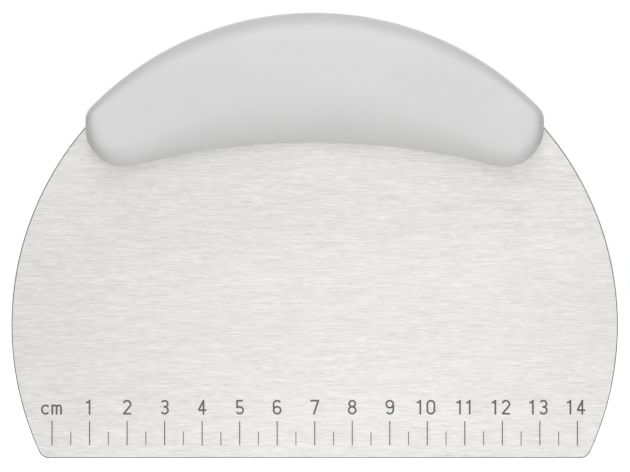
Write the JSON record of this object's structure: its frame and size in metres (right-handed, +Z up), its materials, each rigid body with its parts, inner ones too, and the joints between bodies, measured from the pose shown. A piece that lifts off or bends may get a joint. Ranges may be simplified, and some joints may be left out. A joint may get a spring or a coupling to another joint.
{
  "type": "bench scraper",
  "caption": "Bench scraper: thin round-topped steel blade with a straight scraping edge and a centimetre scale, held in a curved moulded handle.",
  "frame": {"origin": "middle of the straight scraping edge, on the blade's middle plane", "axes": "+X along the scraping edge, +Z up from the edge to the handle, and the graduated face looks towards -Y"},
  "size_m": [0.1616, 0.022, 0.1187],
  "materials": {
    "brushed_stainless": "stainless sheet, fine brushing along the scraping edge",
    "etched_black": "dark grey etched marking, level with the steel",
    "handle_plastic": "light grey moulded plastic, fine satin texture"
  },
  "bodies": {
    "root": {"blade": "brushed_stainless", "scale_ticks": "etched_black", "scale_numerals": "etched_black", "handle_front_shell": "handle_plastic", "handle_back_shell": "handle_plastic"}
  },
  "joints": []
}
